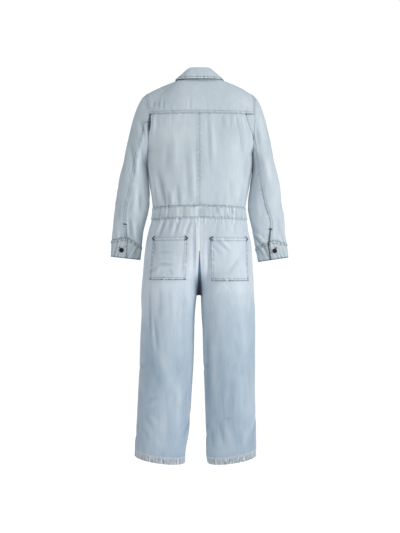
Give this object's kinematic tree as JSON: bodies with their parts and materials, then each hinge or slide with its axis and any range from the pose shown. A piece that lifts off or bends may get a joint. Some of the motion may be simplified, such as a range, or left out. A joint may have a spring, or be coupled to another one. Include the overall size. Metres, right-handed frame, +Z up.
{
  "type": "jumpsuit",
  "caption": "Long-sleeved denim jumpsuit filled out as if worn, with a turned-down collar, back yoke, side pleats, waistband, patch pockets and buttoned cuffs.",
  "frame": {"origin": "midway between the two sides of the neck, at the height where a wearer's shoulders carry the garment", "axes": "+Z up along the garment, +X to the wearer's left, +Y out of the back (the pictured side), -Y out of the buttoned front"},
  "size_m": [0.6493, 0.2596, 1.4347],
  "materials": {
    "denim_top": "light washed blue-grey denim, matte, soft twill",
    "denim_trousers": "light washed blue denim, matte, a little bluer than the top",
    "button_metal": "dark antiqued metal shank buttons, half dull"
  },
  "bodies": {
    "root": {"back_yoke": "denim_top", "collar": "denim_top", "waistband_back": "denim_top", "waistband_front_left": "denim_top", "waistband_front_right": "denim_top", "front_placket": "denim_top", "fly_placket": "denim_top", "back_body_left": "denim_top", "back_body_right": "denim_top", "back_pleat_left": "denim_top", "back_pleat_right": "denim_top", "front_body_left": "denim_top", "front_body_right": "denim_top", "sleeve_outer_left": "denim_top", "sleeve_outer_right": "denim_top", "sleeve_inner_left": "denim_top", "sleeve_inner_right": "denim_top", "cuff_left": "denim_top", "cuff_right": "denim_top", "leg_back_left": "denim_trousers", "leg_back_right": "denim_trousers", "leg_front_left": "denim_trousers", "leg_front_right": "denim_trousers", "back_pocket_left": "denim_trousers", "back_pocket_right": "denim_trousers", "front_button_1": "button_metal", "front_button_2": "button_metal", "front_button_3": "button_metal", "front_button_4": "button_metal", "front_button_5": "button_metal", "front_button_6": "button_metal", "front_button_7": "button_metal", "front_button_8": "button_metal", "cuff_button_left": "button_metal", "cuff_button_right": "button_metal"}
  },
  "joints": []
}
